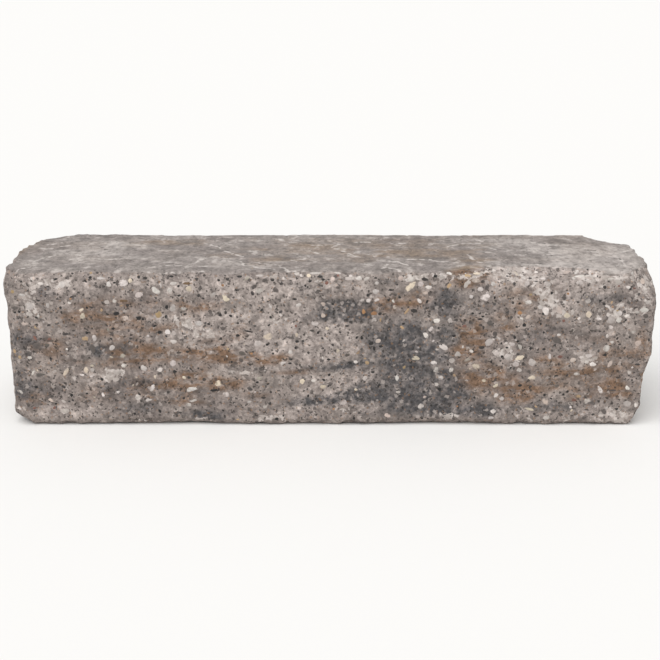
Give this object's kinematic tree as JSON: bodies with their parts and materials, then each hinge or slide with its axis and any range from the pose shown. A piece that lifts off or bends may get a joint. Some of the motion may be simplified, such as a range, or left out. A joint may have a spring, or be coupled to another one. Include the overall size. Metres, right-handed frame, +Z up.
{
  "type": "tumbled concrete kerb stone",
  "caption": "Long square-section concrete kerb stone with tumbled, worn arrises, knocked corners and exposed aggregate, laid on its bed to edge a path, bed or low wall.",
  "frame": {"origin": "middle of the bed face's bounding rectangle, on the ground", "axes": "+X along the stone's length, -Y out of the front face, +Z up out of the top face"},
  "size_m": [0.6, 0.15, 0.15],
  "materials": {
    "tumbled_concrete": "dry-pressed concrete, tumbled, with exposed gravel and brown and anthracite clouding"
  },
  "bodies": {
    "root": {"kerb_stone": "tumbled_concrete"}
  },
  "joints": []
}
